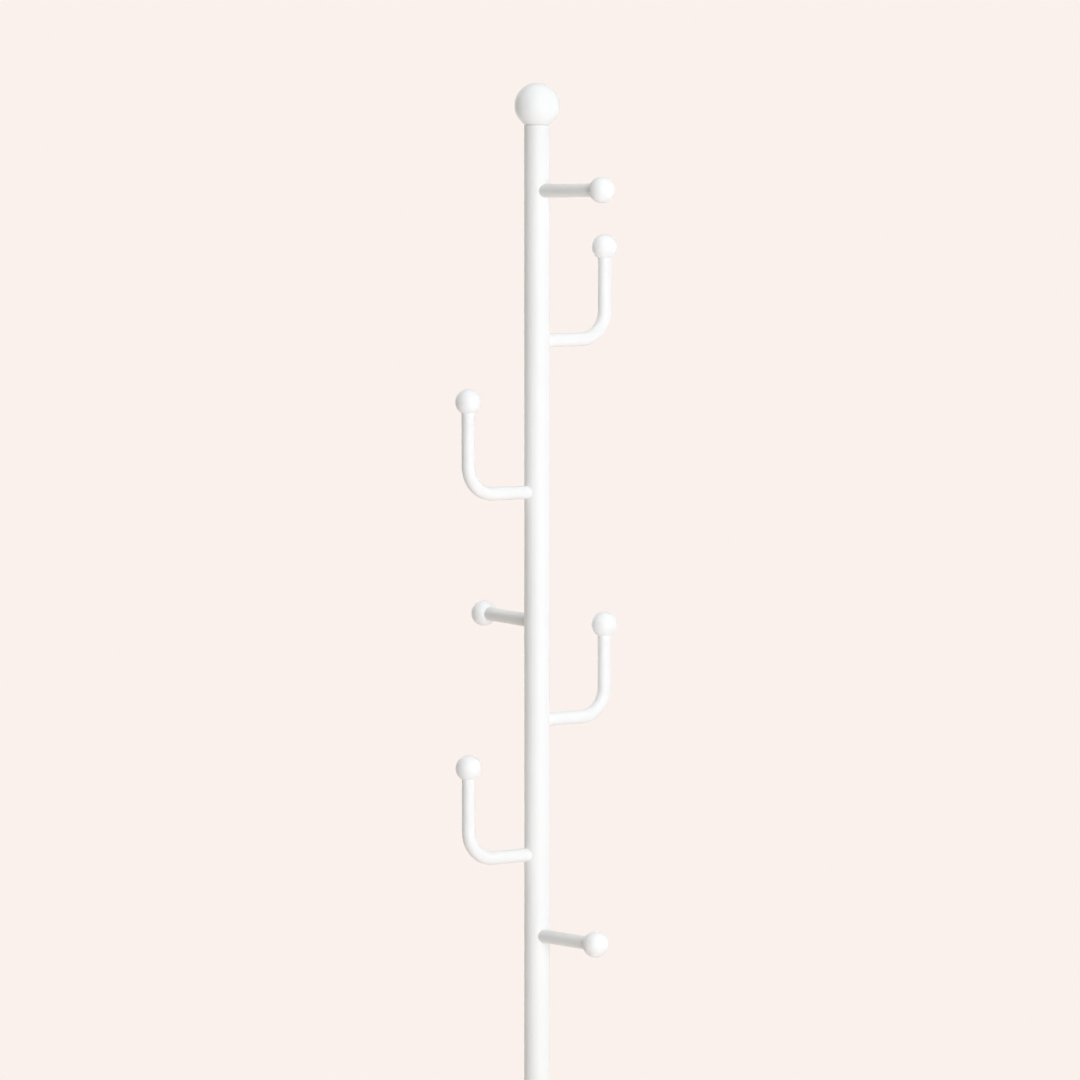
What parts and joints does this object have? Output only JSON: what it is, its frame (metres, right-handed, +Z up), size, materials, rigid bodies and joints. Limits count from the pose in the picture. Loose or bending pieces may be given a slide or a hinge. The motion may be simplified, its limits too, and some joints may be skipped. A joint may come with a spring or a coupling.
{
  "type": "standing coat rack",
  "caption": "Tall slim coat rack: a pole on a round base plate, topped by a ball, with straight pegs and J-shaped hooks, each ending in a ball.",
  "frame": {"origin": "on the floor, under the middle of the base plate", "axes": "+Z up along the pole; +X along the upper J hook that points to the right of the pegs' front side, -Y towards the front, where the top peg points"},
  "size_m": [0.3599, 0.36, 1.7],
  "materials": {
    "white_powder_coat": "white powder coat on steel, satin, with faint orange peel",
    "white_ball_plastic": "white moulded plastic, satin",
    "zinc_plated_steel": "bright zinc plate",
    "grey_rubber": "matt grey rubber"
  },
  "bodies": {
    "root": {"base_plate": "white_powder_coat", "lower_tube": "white_powder_coat", "upper_tube": "white_powder_coat", "peg_1_arm": "white_powder_coat", "hook_1_arm": "white_powder_coat", "hook_2_arm": "white_powder_coat", "peg_2_arm": "white_powder_coat", "hook_3_arm": "white_powder_coat", "hook_4_arm": "white_powder_coat", "peg_3_arm": "white_powder_coat", "finial_ball": "white_ball_plastic", "peg_1_ball": "white_ball_plastic", "hook_1_ball": "white_ball_plastic", "hook_2_ball": "white_ball_plastic", "peg_2_ball": "white_ball_plastic", "hook_3_ball": "white_ball_plastic", "hook_4_ball": "white_ball_plastic", "peg_3_ball": "white_ball_plastic", "base_screw": "zinc_plated_steel", "foot_plug": "zinc_plated_steel", "lower_insert": "zinc_plated_steel", "upper_insert": "zinc_plated_steel", "pole_stud": "zinc_plated_steel", "top_plug": "zinc_plated_steel", "finial_stud": "zinc_plated_steel", "peg_1_nut": "zinc_plated_steel", "hook_1_nut": "zinc_plated_steel", "hook_2_nut": "zinc_plated_steel", "peg_2_nut": "zinc_plated_steel", "hook_3_nut": "zinc_plated_steel", "hook_4_nut": "zinc_plated_steel", "peg_3_nut": "zinc_plated_steel", "floor_pads": "grey_rubber"}
  },
  "joints": []
}
